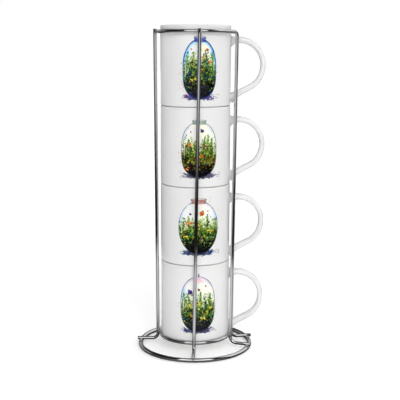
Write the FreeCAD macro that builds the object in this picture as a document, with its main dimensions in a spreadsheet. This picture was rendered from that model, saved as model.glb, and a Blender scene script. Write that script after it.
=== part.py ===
import FreeCAD, Part
import math
import os

import Sketcher

# Stacking-mug rack of chromed round wire, with four ceramic mugs standing in it one on another.
# Millimetres. The rack's axis is Z, Z = 0 is the surface that the base ring rests on, and the
# handles point towards +X through the gate, which is the open side of the wire rack.

doc = FreeCAD.newDocument("mug_rack")

# ---------------------------------------------------------------------------------------------
# Driving dimensions
# ---------------------------------------------------------------------------------------------

DIMENSIONS = [
    # alias, value, what it is
    ("wire", 4.0, "diameter of the uprights, seat ring and hoop wire"),
    ("base_wire", 5.0, "diameter of the base ring's heavier wire"),
    ("weld_sink", 0.5, "how far crossed wires are pressed into each other when they are welded"),
    ("base_radius", 65.0, "centreline radius of the base ring"),
    ("seat_radius", 40.8, "centreline radius of the seat ring"),
    ("seat_level", 14.5, "height of the seat ring's centreline"),
    ("hoop_radius", 42.7, "centreline radius of the top hoop"),
    ("hoop_level", 369.0, "height of the top hoop's centreline"),
    ("upright_foot_radius", 44.3, "distance of the uprights from the axis at the bottom"),
    ("upright_top_radius", 46.2, "distance of the uprights from the axis at the hoop"),
    ("upright_rise", 3.0, "how far an upright's cut end stands above the hoop's centreline"),
    ("foot_reach", 69.0, "distance of the feet's cut ends from the axis"),
    ("foot_bend", 7.0, "centreline bend radius at the foot of every upright"),
    ("cut_chamfer", 0.4, "chamfer on the cut ends of the uprights"),
    ("foot_turn", -1.7, "degrees that the feet are turned about the axis"),
    ("hoop_turn", 5.4, "degrees that the hoop is turned about the axis"),
    ("gate_front_foot", -18.7, "degrees, front gate post at the bottom"),
    ("gate_rear_foot", 11.0, "degrees, rear gate post at the bottom"),
    ("gate_front_top", -11.1, "degrees, front gate post at the hoop"),
    ("gate_rear_top", 12.5, "degrees, rear gate post at the hoop"),
    ("gate_front_radius", 47.5, "distance of the front gate post from the axis at the hoop"),
    ("gate_rear_radius", 48.7, "distance of the rear gate post from the axis at the hoop"),
    ("gate_bend", 5.0, "centreline bend radius where the hoop turns down into a gate post"),
    ("weld_radius", 1.9, "radius of the nugget of fused metal at a weld"),
    ("mug_radius", 40.1, "outer radius of a mug"),
    ("mug_tall", 94.0, "height of a mug from its foot to its rim"),
    ("mug_bore", 36.4, "inner radius of a mug"),
    ("mug_floor", 9.0, "height of the inside floor above the foot"),
    ("mug_foot_radius", 35.6, "outer radius of the foot, which nests in the mug below"),
    ("mug_foot_inner", 32.6, "inner radius of the foot ring"),
    ("mug_foot_tall", 4.0, "height of the foot below the shoulder"),
    ("mug_recess", 1.5, "depth of the recess under the mug"),
    ("shoulder_round", 2.5, "rounding of the lower outside edge"),
    ("rim_round", 1.1, "rounding of the rim's two edges"),
    ("floor_round", 8.0, "rounding between the inside wall and the floor"),
    ("foot_round", 0.8, "rounding of the foot ring's edges"),
    ("stack_gap", 0.1, "clearance between a rim and the shoulder that stands on it"),
    ("seat_gap", 0.3, "clearance between the lowest mug and the seat ring"),
    ("handle_thick", 7.0, "handle section, measured outwards from the mug"),
    ("handle_wide", 11.5, "handle section, measured across"),
    ("handle_arc", 27.5, "centreline radius of the handle's bow"),
    ("handle_out", 49.0, "distance of the bow's centre from the mug's axis"),
    ("handle_up", 50.7, "height of the bow's centre above the foot"),
    ("handle_slope", 28.0, "degrees by which the lower leg falls towards the mug"),
    ("handle_root", 38.5, "distance from the axis where the handle's sweep starts inside the wall"),
    ("handle_yaw_step", 0.8, "degrees that each mug up the stack is turned further"),
]

sheet = doc.addObject("Spreadsheet::Sheet", "sizes")
for row, (alias, value, meaning) in enumerate(DIMENSIONS, start=1):
    sheet.set("A%d" % row, meaning)
    sheet.set("B%d" % row, repr(value))
    sheet.setAlias("B%d" % row, alias)
doc.recompute()


def size(alias):
    """The value of one driving dimension."""
    return float(sheet.get(alias))


UP = FreeCAD.Vector(0, 0, 1)
MUG_COUNT = 4
FOOT_LEVEL_TEXT = "(sizes.base_wire + sizes.wire / 2 - sizes.weld_sink)"
foot_level = size("base_wire") + size("wire") / 2 - size("weld_sink")
parts = []


def polar(radius, degrees, level=0.0):
    """A point from its distance from the axis, its direction and its height."""
    angle = math.radians(degrees)
    return FreeCAD.Vector(radius * math.cos(angle), radius * math.sin(angle), level)


def turned(degrees, position=None, tilt=None):
    """A placement turned about Z, then moved to position; tilt is applied first."""
    rotation = FreeCAD.Rotation(UP, degrees)
    if tilt is not None:
        rotation = rotation.multiply(tilt)
    return FreeCAD.Placement(position or FreeCAD.Vector(), rotation)


# ---------------------------------------------------------------------------------------------
# Sketch helpers
# ---------------------------------------------------------------------------------------------

def new_sketch(body, name, role):
    """A sketch on one of the body's own origin planes."""
    sketch = body.newObject("Sketcher::SketchObject", name)
    plane = [item for item in body.Origin.OriginFeatures if item.Role == role][0]
    sketch.AttachmentSupport = [(plane, "")]
    sketch.MapMode = "FlatFace"
    return sketch


def bind(sketch, constraint, expression):
    """Adds a dimensional constraint whose value is worked out from the sheet."""
    index = sketch.addConstraint(constraint)
    sketch.setExpression("Constraints[%d]" % index, expression)


def outline(sketch, corners):
    """A closed outline of straight lines; each corner is (x, start, y, start) with expressions.

    The start values only place the corner on the right side before the sheet's values apply.
    """
    starts = [FreeCAD.Vector(x_start, y_start, 0) for _, x_start, _, y_start in corners]
    for index, start in enumerate(starts):
        following = starts[(index + 1) % len(starts)]
        sketch.addGeometry(Part.LineSegment(start, following), False)
    for index in range(len(corners)):
        following = (index + 1) % len(corners)
        sketch.addConstraint(Sketcher.Constraint("Coincident", index, 2, following, 1))
    for index, (x_text, x_start, y_text, y_start) in enumerate(corners):
        if x_text is None:
            sketch.addConstraint(Sketcher.Constraint("PointOnObject", index, 1, -2))
        else:
            bind(sketch, Sketcher.Constraint("DistanceX", -1, 1, index, 1, x_start), x_text)
        if y_text is None:
            sketch.addConstraint(Sketcher.Constraint("PointOnObject", index, 1, -1))
        else:
            bind(sketch, Sketcher.Constraint("DistanceY", -1, 1, index, 1, y_start), y_text)


def circle_edges(shape, radius, level):
    """Names of the shape's full-circle edges of this radius at this height."""
    names = []
    for index, edge in enumerate(shape.Edges, start=1):
        curve = edge.Curve
        if not isinstance(curve, Part.Circle):
            continue
        if abs(curve.Radius - radius) < 1e-4 and abs(curve.Center.z - level) < 1e-4:
            names.append("Edge%d" % index)
    return names


def round_edge(body, name, radius, level, alias):
    """Rounds the circular edge of this radius and height with the sheet's radius."""
    tip = body.Tip
    fillet = body.newObject("PartDesign::Fillet", name)
    fillet.Base = (tip, circle_edges(tip.Shape, radius, level))
    fillet.setExpression("Radius", "sizes." + alias)
    doc.recompute()


# ---------------------------------------------------------------------------------------------
# Rings
# ---------------------------------------------------------------------------------------------

def make_ring(name, radius_alias, wire_alias, level_expression):
    """A closed ring of round wire, lying level."""
    ring = doc.addObject("Part::Torus", name)
    ring.Label = name
    ring.setExpression("Radius1", "sizes." + radius_alias)
    ring.setExpression("Radius2", "sizes.%s / 2" % wire_alias)
    ring.setExpression("Placement.Base.z", level_expression)
    parts.append(ring)
    return ring


make_ring("base_ring", "base_radius", "base_wire", "sizes.base_wire / 2")
make_ring("seat_ring", "seat_radius", "wire", "sizes.seat_level")


# ---------------------------------------------------------------------------------------------
# Plain uprights: an L of wire, welded outside the two rings
# ---------------------------------------------------------------------------------------------

def make_upright(name, direction):
    """One L-shaped upright. Its foot is radial, and its long leg leans to the turned hoop.

    The body's own origin is the corner of the L on the foot's centreline. Its X axis runs out
    along the foot. The two legs are in one plane, which is tilted about the foot.
    """
    twist = size("hoop_turn") - size("foot_turn")
    twist_text = "(sizes.hoop_turn - sizes.foot_turn)"
    sideways = size("upright_top_radius") * math.sin(math.radians(twist))
    climb = size("hoop_level") - foot_level
    tilt = math.degrees(math.atan2(sideways, climb))
    lean_text = "(sizes.upright_top_radius * cos(%s) - sizes.upright_foot_radius)" % twist_text
    side_text = "(sizes.upright_top_radius * sin(%s))" % twist_text
    climb_text = "(sizes.hoop_level - %s)" % FOOT_LEVEL_TEXT
    grow_text = "(1 + sizes.upright_rise / %s)" % climb_text
    length = math.hypot(sideways, climb)

    body = doc.addObject("PartDesign::Body", name)
    body.Label = name
    path = new_sketch(body, name + "_path", "XZ_Plane")
    bend = size("foot_bend")
    reach = size("foot_reach") - size("upright_foot_radius")
    top = FreeCAD.Vector(1, length, 0)
    path.addGeometry(Part.LineSegment(top, FreeCAD.Vector(0, bend, 0)), False)
    corner = Part.Circle(FreeCAD.Vector(bend, bend, 0), UP, bend)
    path.addGeometry(Part.ArcOfCircle(corner, math.pi, 1.5 * math.pi), False)
    path.addGeometry(Part.LineSegment(FreeCAD.Vector(bend, 0, 0), FreeCAD.Vector(reach, 0, 0)), False)
    path.addConstraint(Sketcher.Constraint("Tangent", 0, 2, 1, 1))
    path.addConstraint(Sketcher.Constraint("Tangent", 1, 2, 2, 1))
    path.addConstraint(Sketcher.Constraint("PointOnObject", 2, 1, -1))
    path.addConstraint(Sketcher.Constraint("PointOnObject", 2, 2, -1))
    path.addConstraint(Sketcher.Constraint("PointOnObject", -1, 1, 0))
    bind(path, Sketcher.Constraint("Radius", 1, bend), "sizes.foot_bend")
    bind(path, Sketcher.Constraint("DistanceX", -1, 1, 2, 2, reach),
         "sizes.foot_reach - sizes.upright_foot_radius")
    bind(path, Sketcher.Constraint("DistanceX", -1, 1, 0, 1, 1.0), "%s * %s" % (lean_text, grow_text))
    bind(path, Sketcher.Constraint("DistanceY", -1, 1, 0, 1, length),
         "sqrt(%s ^ 2 + %s ^ 2) * %s" % (climb_text, side_text, grow_text))

    section = new_sketch(body, name + "_section", "YZ_Plane")
    section.setExpression("AttachmentOffset.Base.z", "sizes.foot_reach - sizes.upright_foot_radius")
    section.addGeometry(Part.Circle(FreeCAD.Vector(), UP, size("wire") / 2), False)
    section.addConstraint(Sketcher.Constraint("Coincident", 0, 3, -1, 1))
    bind(section, Sketcher.Constraint("Diameter", 0, size("wire")), "sizes.wire")
    doc.recompute()

    pipe = body.newObject("PartDesign::AdditivePipe", name + "_wire")
    pipe.Profile = section
    pipe.Spine = (path, ["Edge1", "Edge2", "Edge3"])
    doc.recompute()

    ends = [index for index, face in enumerate(pipe.Shape.Faces, start=1)
            if isinstance(face.Surface, Part.Plane)]
    chamfer = body.newObject("PartDesign::Chamfer", name + "_cut_ends")
    chamfer.Base = (pipe, ["Face%d" % index for index in ends])
    chamfer.setExpression("Size", "sizes.cut_chamfer")
    doc.recompute()

    base = polar(size("upright_foot_radius"), direction + size("foot_turn"), foot_level)
    lean = FreeCAD.Rotation(FreeCAD.Vector(1, 0, 0), -tilt)
    body.Placement = turned(direction + size("foot_turn"), base, lean)
    parts.append(body)
    return body


PLAIN_UPRIGHTS = [("rear_upright", 90.0), ("left_upright", 180.0), ("front_upright", 270.0)]
for upright_name, upright_direction in PLAIN_UPRIGHTS:
    make_upright(upright_name, upright_direction)


# ---------------------------------------------------------------------------------------------
# Gate hoop: one wire that is foot, gate post, top hoop, gate post and foot
# ---------------------------------------------------------------------------------------------

def bent_corner(before, corner, after, bend):
    """Start, middle and end of the arc that rounds a corner with this bend radius."""
    towards_before = (before - corner).normalize()
    towards_after = (after - corner).normalize()
    half = towards_before.getAngle(towards_after) / 2
    middle_line = (towards_before + towards_after).normalize()
    setback = bend / math.tan(half)
    start = corner + towards_before * setback
    end = corner + towards_after * setback
    middle = corner + middle_line * (bend / math.sin(half) - bend)
    return start, middle, end


def gate_leg(name, side):
    """Edges of one leg, from the foot's cut end to where it runs into the hoop's circle.

    It also gives the foot's tip, the end at the hoop and that end's direction in degrees.
    """
    foot_direction = size("gate_%s_foot" % name)
    top_direction = size("gate_%s_top" % name)
    top_radius = size("gate_%s_radius" % name)
    tangent_turn = math.degrees(math.acos(size("hoop_radius") / top_radius))
    tangent_direction = top_direction + side * tangent_turn
    tip = polar(size("foot_reach"), foot_direction, foot_level)
    ankle = polar(size("upright_foot_radius"), foot_direction, foot_level)
    shoulder = polar(top_radius, top_direction, size("hoop_level"))
    tangent = polar(size("hoop_radius"), tangent_direction, size("hoop_level"))
    foot_arc = bent_corner(tip, ankle, shoulder, size("foot_bend"))
    top_arc = bent_corner(ankle, shoulder, tangent, size("gate_bend"))
    edges = [
        Part.LineSegment(tip, foot_arc[0]).toShape(),
        Part.Arc(*foot_arc).toShape(),
        Part.LineSegment(foot_arc[2], top_arc[0]).toShape(),
        Part.Arc(*top_arc).toShape(),
        Part.LineSegment(top_arc[2], tangent).toShape(),
    ]
    return edges, tip, tangent, tangent_direction


def make_gate_hoop():
    """Sweeps the wire's round section along the one bent path."""
    rear_edges, rear_tip, rear_end, rear_direction = gate_leg("rear", 1)
    front_edges, _, front_end, front_direction = gate_leg("front", -1)
    back_direction = (rear_direction + front_direction) / 2 + 180
    back = polar(size("hoop_radius"), back_direction, size("hoop_level"))
    hoop = Part.Arc(rear_end, back, front_end).toShape()

    path = doc.addObject("Part::Feature", "gate_hoop_path")
    path.Shape = Part.Wire(rear_edges + [hoop] + front_edges[::-1])
    section = doc.addObject("Part::Circle", "gate_hoop_section")
    section.setExpression("Radius", "sizes.wire / 2")
    along = polar(1, size("gate_rear_foot"))
    section.Placement = FreeCAD.Placement(rear_tip, FreeCAD.Rotation(UP, along))

    wire = doc.addObject("Part::Sweep", "gate_hoop")
    wire.Label = "gate_hoop"
    wire.Sections = [section]
    wire.Spine = (path, ["Edge%d" % (index + 1) for index in range(len(path.Shape.Edges))])
    wire.Solid = True
    wire.Frenet = False
    wire.Transition = "Transformed"
    doc.recompute()

    expected = math.pi * (size("wire") / 2) ** 2 * path.Shape.Length
    if abs(wire.Shape.Volume / expected - 1) > 0.01:
        raise RuntimeError("the gate hoop's volume is not its section times its length")
    parts.append(wire)


make_gate_hoop()


# ---------------------------------------------------------------------------------------------
# Welds: nuggets of fused metal where the wires cross
# ---------------------------------------------------------------------------------------------

def make_welds(name, centres):
    """A group of separate nuggets that share one node."""
    nuggets = []
    for index, centre in enumerate(centres, start=1):
        nugget = doc.addObject("Part::Sphere", "%s_%d" % (name, index))
        nugget.setExpression("Radius", "sizes.weld_radius")
        nugget.Placement = FreeCAD.Placement(centre, FreeCAD.Rotation())
        nuggets.append(nugget)
    group = doc.addObject("Part::Compound", name)
    group.Label = name
    group.Links = nuggets
    parts.append(group)


foot_directions = [direction + size("foot_turn") for _, direction in PLAIN_UPRIGHTS]
gate_foot_directions = [size("gate_front_foot"), size("gate_rear_foot")]
hoop_directions = [direction + size("hoop_turn") for _, direction in PLAIN_UPRIGHTS]
crossing_out = (size("wire") - size("weld_sink")) / 2
base_top = size("base_wire") - size("weld_sink") / 2

make_welds("hoop_welds", [
    polar(size("hoop_radius") + crossing_out, direction, size("hoop_level"))
    for direction in hoop_directions
])
make_welds("seat_welds", [
    polar(size("seat_radius") + crossing_out, direction, size("seat_level"))
    for direction in foot_directions + gate_foot_directions
])
make_welds("foot_welds", [
    polar(size("base_radius"), direction, base_top)
    for direction in foot_directions + gate_foot_directions
])


# ---------------------------------------------------------------------------------------------
# Mugs
# ---------------------------------------------------------------------------------------------

def lowest_mug_level():
    """Height of the lowest mug's foot, from its rounded shoulder resting in the seat ring."""
    across = size("seat_radius") - (size("mug_radius") - size("shoulder_round"))
    reach = size("wire") / 2 + size("shoulder_round") + size("seat_gap")
    rise = math.sqrt(reach ** 2 - across ** 2)
    return size("seat_level") + rise - size("shoulder_round") - size("mug_foot_tall")


def make_mug_body(name):
    """The turned body of a mug, standing on its own foot at the origin."""
    body = doc.addObject("PartDesign::Body", name)
    body.Label = name
    profile = new_sketch(body, name + "_profile", "XZ_Plane")
    outline(profile, [
        (None, 0, "sizes.mug_recess", 1.5),
        ("sizes.mug_foot_inner", 32, "sizes.mug_recess", 1.5),
        ("sizes.mug_foot_inner", 32, None, 0),
        ("sizes.mug_foot_radius", 36, None, 0),
        ("sizes.mug_foot_radius", 36, "sizes.mug_foot_tall", 4),
        ("sizes.mug_radius", 40, "sizes.mug_foot_tall", 4),
        ("sizes.mug_radius", 40, "sizes.mug_tall", 94),
        ("sizes.mug_bore", 37, "sizes.mug_tall", 94),
        ("sizes.mug_bore", 37, "sizes.mug_floor", 9),
        (None, 0, "sizes.mug_floor", 9),
    ])
    doc.recompute()
    turned_body = body.newObject("PartDesign::Revolution", name + "_turned")
    turned_body.Profile = profile
    turned_body.ReferenceAxis = (profile, ["V_Axis"])
    turned_body.Angle = 360
    doc.recompute()
    round_edge(body, name + "_shoulder", size("mug_radius"), size("mug_foot_tall"), "shoulder_round")
    round_edge(body, name + "_lip_outside", size("mug_radius"), size("mug_tall"), "rim_round")
    round_edge(body, name + "_lip_inside", size("mug_bore"), size("mug_tall"), "rim_round")
    round_edge(body, name + "_inside", size("mug_bore"), size("mug_floor"), "floor_round")
    round_edge(body, name + "_foot_outside", size("mug_foot_radius"), 0.0, "foot_round")
    round_edge(body, name + "_foot_inside", size("mug_foot_inner"), 0.0, "foot_round")
    parts.append(body)
    return body


def make_mug_handle(name):
    """A bowed handle whose two ends are cut to the mug's wall."""
    body = doc.addObject("PartDesign::Body", name)
    body.Label = name
    path = new_sketch(body, name + "_path", "XZ_Plane")
    root, out, high = size("handle_root"), size("handle_out"), size("handle_up")
    arc_radius, slope = size("handle_arc"), math.radians(size("handle_slope"))
    top = FreeCAD.Vector(out, high + arc_radius, 0)
    low = FreeCAD.Vector(out + arc_radius * math.sin(slope), high - arc_radius * math.cos(slope), 0)
    run = low.x - root
    end = FreeCAD.Vector(root, low.y - run * math.tan(slope), 0)
    path.addGeometry(Part.LineSegment(FreeCAD.Vector(root, top.y, 0), top), False)
    bow = Part.Circle(FreeCAD.Vector(out, high, 0), UP, arc_radius)
    path.addGeometry(Part.ArcOfCircle(bow, slope - math.pi / 2, math.pi / 2), False)
    path.addGeometry(Part.LineSegment(low, end), False)
    path.addConstraint(Sketcher.Constraint("Tangent", 0, 2, 1, 2))
    path.addConstraint(Sketcher.Constraint("Tangent", 1, 1, 2, 1))
    path.addConstraint(Sketcher.Constraint("Horizontal", 0))
    bind(path, Sketcher.Constraint("Radius", 1, arc_radius), "sizes.handle_arc")
    bind(path, Sketcher.Constraint("DistanceX", -1, 1, 1, 3, out), "sizes.handle_out")
    bind(path, Sketcher.Constraint("DistanceY", -1, 1, 1, 3, high), "sizes.handle_up")
    bind(path, Sketcher.Constraint("DistanceX", -1, 1, 0, 1, root), "sizes.handle_root")
    bind(path, Sketcher.Constraint("DistanceX", -1, 1, 2, 2, root), "sizes.handle_root")
    bind(path, Sketcher.Constraint("DistanceY", 2, 2, 2, 1, low.y - end.y),
         "(sizes.handle_out + sizes.handle_arc * sin(sizes.handle_slope) - sizes.handle_root)"
         " * tan(sizes.handle_slope)")

    section = new_sketch(body, name + "_section", "YZ_Plane")
    section.setExpression("AttachmentOffset.Base.z", "sizes.handle_root")
    half_wide, half_thick = size("handle_wide") / 2, size("handle_thick") / 2
    centre = FreeCAD.Vector(0, top.y, 0)
    oval = Part.Ellipse(centre + FreeCAD.Vector(half_wide, 0, 0),
                        centre + FreeCAD.Vector(0, half_thick, 0), centre)
    section.addGeometry(oval, False)
    section.exposeInternalGeometry(0)
    section.addConstraint(Sketcher.Constraint("PointOnObject", 0, 3, -2))
    section.addConstraint(Sketcher.Constraint("Horizontal", 1))
    bind(section, Sketcher.Constraint("DistanceY", -1, 1, 0, 3, top.y),
         "sizes.handle_up + sizes.handle_arc")
    bind(section, Sketcher.Constraint("Distance", 1, 2 * half_wide), "sizes.handle_wide")
    bind(section, Sketcher.Constraint("Distance", 2, 2 * half_thick), "sizes.handle_thick")
    doc.recompute()

    pipe = body.newObject("PartDesign::AdditivePipe", name + "_bow")
    pipe.Profile = section
    pipe.Spine = (path, ["Edge1", "Edge2", "Edge3"])
    doc.recompute()

    wall = new_sketch(body, name + "_wall", "XY_Plane")
    wall.addGeometry(Part.Circle(FreeCAD.Vector(), UP, size("mug_radius")), False)
    wall.addConstraint(Sketcher.Constraint("Coincident", 0, 3, -1, 1))
    bind(wall, Sketcher.Constraint("Radius", 0, size("mug_radius")), "sizes.mug_radius")
    doc.recompute()
    whole = pipe.Shape.Volume
    cut = body.newObject("PartDesign::Pocket", name + "_roots")
    cut.Profile = wall
    cut.Type = "ThroughAll"
    cut.Reversed = True
    doc.recompute()
    if cut.Shape.Volume > 0.999 * whole:
        raise RuntimeError(name + " was not cut to the mug's wall")
    parts.append(body)
    return body


mug_pitch = size("mug_tall") - size("mug_foot_tall") + size("stack_gap")
for mug_index in range(MUG_COUNT):
    mug_name = "mug_%d" % (mug_index + 1)
    mug_level = lowest_mug_level() + mug_index * mug_pitch
    standing = turned(mug_index * size("handle_yaw_step"), FreeCAD.Vector(0, 0, mug_level))
    make_mug_body(mug_name + "_body").Placement = standing
    make_mug_handle(mug_name + "_handle").Placement = standing


# ---------------------------------------------------------------------------------------------
# Checks and STEP files
# ---------------------------------------------------------------------------------------------

doc.recompute()
for item in doc.Objects:
    failed = [state for state in item.State if state in ("Invalid", "Error")]
    if failed:
        raise RuntimeError("%s is %s" % (item.Label, failed[0]))
for item in parts:
    if item.Shape.isNull() or not item.Shape.isValid():
        raise RuntimeError(item.Label + " has no valid shape")

os.makedirs("parts", exist_ok=True)
for item in parts:
    item.Shape.exportStep("parts/%s.step" % item.Label)
    box = item.Shape.BoundBox
    print("%-16s solids %d  volume %9.1f  x %7.2f %7.2f  y %7.2f %7.2f  z %7.2f %7.2f" % (
        item.Label, len(item.Shape.Solids), item.Shape.Volume,
        box.XMin, box.XMax, box.YMin, box.YMax, box.ZMin, box.ZMax))
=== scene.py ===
"""Looks of the stacking-mug rack: a chromed wire rack and four printed mugs that stand in it.

Metres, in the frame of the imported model: Z up, the handles towards +X and the viewer at -Y.
The printed pictures are painted in millimetres on a flat grid that is then wrapped round a mug.
"""

from math import acos, atan2, copysign, cos, exp, pi, radians, sin, tan
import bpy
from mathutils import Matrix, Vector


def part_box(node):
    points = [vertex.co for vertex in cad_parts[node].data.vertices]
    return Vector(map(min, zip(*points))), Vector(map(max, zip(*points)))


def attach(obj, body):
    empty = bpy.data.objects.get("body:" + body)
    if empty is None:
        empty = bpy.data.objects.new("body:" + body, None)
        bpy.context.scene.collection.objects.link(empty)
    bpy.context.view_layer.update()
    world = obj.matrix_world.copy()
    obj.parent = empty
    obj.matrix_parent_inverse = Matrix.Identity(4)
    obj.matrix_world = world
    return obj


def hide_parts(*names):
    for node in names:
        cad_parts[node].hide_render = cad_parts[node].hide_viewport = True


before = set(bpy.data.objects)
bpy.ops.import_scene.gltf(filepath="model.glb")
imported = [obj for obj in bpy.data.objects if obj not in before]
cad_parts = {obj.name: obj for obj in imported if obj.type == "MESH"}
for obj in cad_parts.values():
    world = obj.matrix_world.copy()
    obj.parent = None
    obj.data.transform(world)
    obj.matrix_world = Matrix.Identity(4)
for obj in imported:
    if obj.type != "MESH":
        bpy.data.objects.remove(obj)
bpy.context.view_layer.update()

from types import SimpleNamespace

import bpy
import numpy as np
from mathutils import Vector

MM = 0.001
UP = Vector((0, 0, 1))
FULL_TURN = 2 * pi
MUGS = ("mug_1", "mug_2", "mug_3", "mug_4")

# --- Sizes read from the imported model, and those only the looks need ---

FOOT_BEND = 7 * MM  # centreline radius at the foot of every upright
GATE_BEND = 5 * MM  # centreline radius where the hoop turns down into a gate post
CUT_CHAMFER = 0.4 * MM
LEG_LEVELS = (80 * MM, 300 * MM)  # two heights at which every long leg is straight

FOOT_TALL = 4 * MM  # a mug's foot, below its shoulder
FOOT_OUTER = 35.6 * MM
FOOT_INNER = 32.6 * MM
FOOT_ROUND = 0.8 * MM
RECESS = 1.5 * MM
RECESS_ROUND = 0.6 * MM
SHOULDER_ROUND = 2.5 * MM
RIM_ROUND = 1.1 * MM
RIM_CROWN = 0.05 * MM
WALL = 3.7 * MM
FLOOR_LEVEL = 9 * MM
FLOOR_ROUND = 8 * MM

BOW_OUT = 49 * MM  # the handle's bow: its centre's distance from the axis, height and radius
BOW_UP = 50.7 * MM
BOW_RADIUS = 27.5 * MM
BOW_SLOPE = radians(28)
BOW_SAG = 1.4 * MM  # how much fuller the bow is where it turns into the lower leg
HANDLE_ROOT = 38.6 * MM
HANDLE_OUTER = 3.45 * MM  # from the centreline to the outer face
HANDLE_SLIM = 2.6 * MM  # from the centreline to the inner face, at the bow's far side
HANDLE_FULL = 4.0 * MM  # the same near the roots
HANDLE_WIDE = 11.5 * MM


def tenth(length):
    """A CAD length without the small shortfall of its faceted mesh: to a tenth of a millimetre."""
    return round(length, 4)


def smooth(low, high, value):
    """0 below low, 1 above high and a smooth ramp between; low may be the higher one."""
    share = np.clip((value - low) / (high - low), 0.0, 1.0)
    return share * share * (3 - 2 * share)


def box_size(node, axis):
    low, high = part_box(node)
    return tenth(high[axis] - low[axis])


WIRE = box_size("seat_ring", 2) / 2
BASE_WIRE = box_size("base_ring", 2) / 2
SEAT_RADIUS = box_size("seat_ring", 0) / 2 - WIRE
BASE_RADIUS = box_size("base_ring", 0) / 2 - BASE_WIRE
SEAT_LEVEL = tenth(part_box("seat_ring")[0].z) + WIRE
FOOT_LEVEL = tenth(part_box("gate_hoop")[0].z) + WIRE
HOOP_LEVEL = tenth(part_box("gate_hoop")[1].z) - WIRE
HOOP_RADIUS = box_size("gate_hoop", 1) / 2 - WIRE
MUG_RADIUS = box_size("mug_1_body", 0) / 2
MUG_TALL = box_size("mug_1_body", 2)


def mesh_points(node):
    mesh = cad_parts[node].data
    flat = np.zeros(len(mesh.vertices) * 3, np.float32)
    mesh.vertices.foreach_get("co", flat)
    return flat.reshape(-1, 3).astype(float)


def leg_centre(node, level, side):
    """Where a leg's centreline crosses a level; side picks the leg at +Y or -Y of a bent wire."""
    points = mesh_points(node)
    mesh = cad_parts[node].data
    ends = np.zeros(len(mesh.edges) * 2, np.int32)
    mesh.edges.foreach_get("vertices", ends)
    start, end = points[ends[0::2]], points[ends[1::2]]
    across = (start[:, 2] - level) * (end[:, 2] - level) < 0
    start, end = start[across], end[across]
    share = (level - start[:, 2]) / (end[:, 2] - start[:, 2])
    cut = start + (end - start) * share[:, None]
    if side:
        cut = cut[cut[:, 1] * side > 0]
    return Vector((cut.min(0) + cut.max(0)) / 2)


def leg_line(node, side=0):
    """A function that gives the leg's centreline at any height."""
    low, high = (leg_centre(node, level, side) for level in LEG_LEVELS)
    return lambda level: low.lerp(high, (level - low.z) / (high.z - low.z))


def level_part(vector):
    return Vector((vector.x, vector.y, 0))


def foot_tip(node, ankle):
    """The cut end of the foot that runs out radially from the ankle."""
    outward = level_part(ankle).normalized()
    reach = max(mesh_points(node) @ np.array(outward))
    return outward * tenth(reach) + UP * ankle.z


# --- Mesh building ---

CREASE = radians(38)  # sharper edges than this stay sharp in the smooth shading


def new_object(name, data):
    made = bpy.data.objects.new(name, data)
    bpy.context.scene.collection.objects.link(made)
    return made


def new_piece(name, points, faces, body, slot, *replaced):
    """A smooth-shaded mesh that rides on a body and stands for the CAD nodes named."""
    mesh = bpy.data.meshes.new(name)
    mesh.from_pydata([tuple(point) for point in points], [], faces)
    mesh.polygons.foreach_set("use_smooth", [True] * len(mesh.polygons))
    mesh.set_sharp_from_angle(angle=CREASE)
    mesh.update()
    piece = new_object(name, mesh)
    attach(piece, body)
    if replaced:
        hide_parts(*replaced)
    return piece


def point_attribute(piece, name, values):
    """A number for each vertex, for the material to read."""
    attribute = piece.data.attributes.new(name, "FLOAT", "POINT")
    attribute.data.foreach_set("value", np.asarray(values, np.float32))


def loft(sides, count, closed=False, first=0):
    """Quads between so many rings of vertices, each ring closed on itself."""
    faces = []
    for ring in range(count if closed else count - 1):
        here = first + ring * sides
        there = first + (ring + 1) % count * sides
        for side in range(sides):
            following = (side + 1) % sides
            faces.append((here + side, here + following, there + following, there + side))
    return faces


def tube(sides, count, low_hub, high_hub, first=0):
    """A loft whose two ends are closed with triangles to a hub vertex each."""
    faces = loft(sides, count, first=first)
    last = first + (count - 1) * sides
    for side in range(sides):
        following = (side + 1) % sides
        faces.append((low_hub, first + following, first + side))
        faces.append((high_hub, last + side, last + following))
    return faces


BEND_STEP = radians(6)
STRAIGHT_STEP = 9 * MM


def bend_points(before, corner, after, radius):
    """Points along the arc that rounds a corner with this radius."""
    to_before = (before - corner).normalized()
    to_after = (after - corner).normalized()
    half = to_before.angle(to_after) / 2
    setback = radius / tan(half)
    centre = corner + (to_before + to_after).normalized() * (radius / sin(half))
    start = corner + to_before * setback - centre
    end = corner + to_after * setback - centre
    turn = pi - 2 * half
    steps = max(4, round(turn / BEND_STEP))
    points = []
    for step in range(steps + 1):
        share = step / steps
        blend = start * sin((1 - share) * turn) + end * sin(share * turn)
        points.append(centre + blend / sin(turn))
    return points


def straight(start, end):
    """Evenly spaced points strictly between two ends."""
    count = int((end - start).length / STRAIGHT_STEP)
    return [start.lerp(end, (step + 1) / (count + 1)) for step in range(count)]


def bent_wire(corners, bends):
    """Points along a wire of straight runs, whose inner corners are rounded with the given radii."""
    points = [corners[0]]
    for index, radius in enumerate(bends, start=1):
        arc = bend_points(corners[index - 1], corners[index], corners[index + 1], radius)
        points += straight(points[-1], arc[0]) + arc
    return points + straight(points[-1], corners[-1]) + [corners[-1]]


def level_arc(radius, level, start, turn, steps):
    """Evenly spaced points on a level arc, with both of its ends."""
    angles = [start + turn * step / steps for step in range(steps + 1)]
    return [Vector((radius * cos(a), radius * sin(a), level)) for a in angles]


WIRE_SIDES = 28
CUT_PROFILE = (  # at a cut end: how far in from it, and how much thinner the wire is
    (1.2 * CUT_CHAMFER, 0.0),
    (0.35 * CUT_CHAMFER, 0.3 * CUT_CHAMFER),
    (0.0, CUT_CHAMFER),
)
JOINT_SWELL = 0.15 * MM
JOINT_LONG = 1.6 * MM


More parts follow.
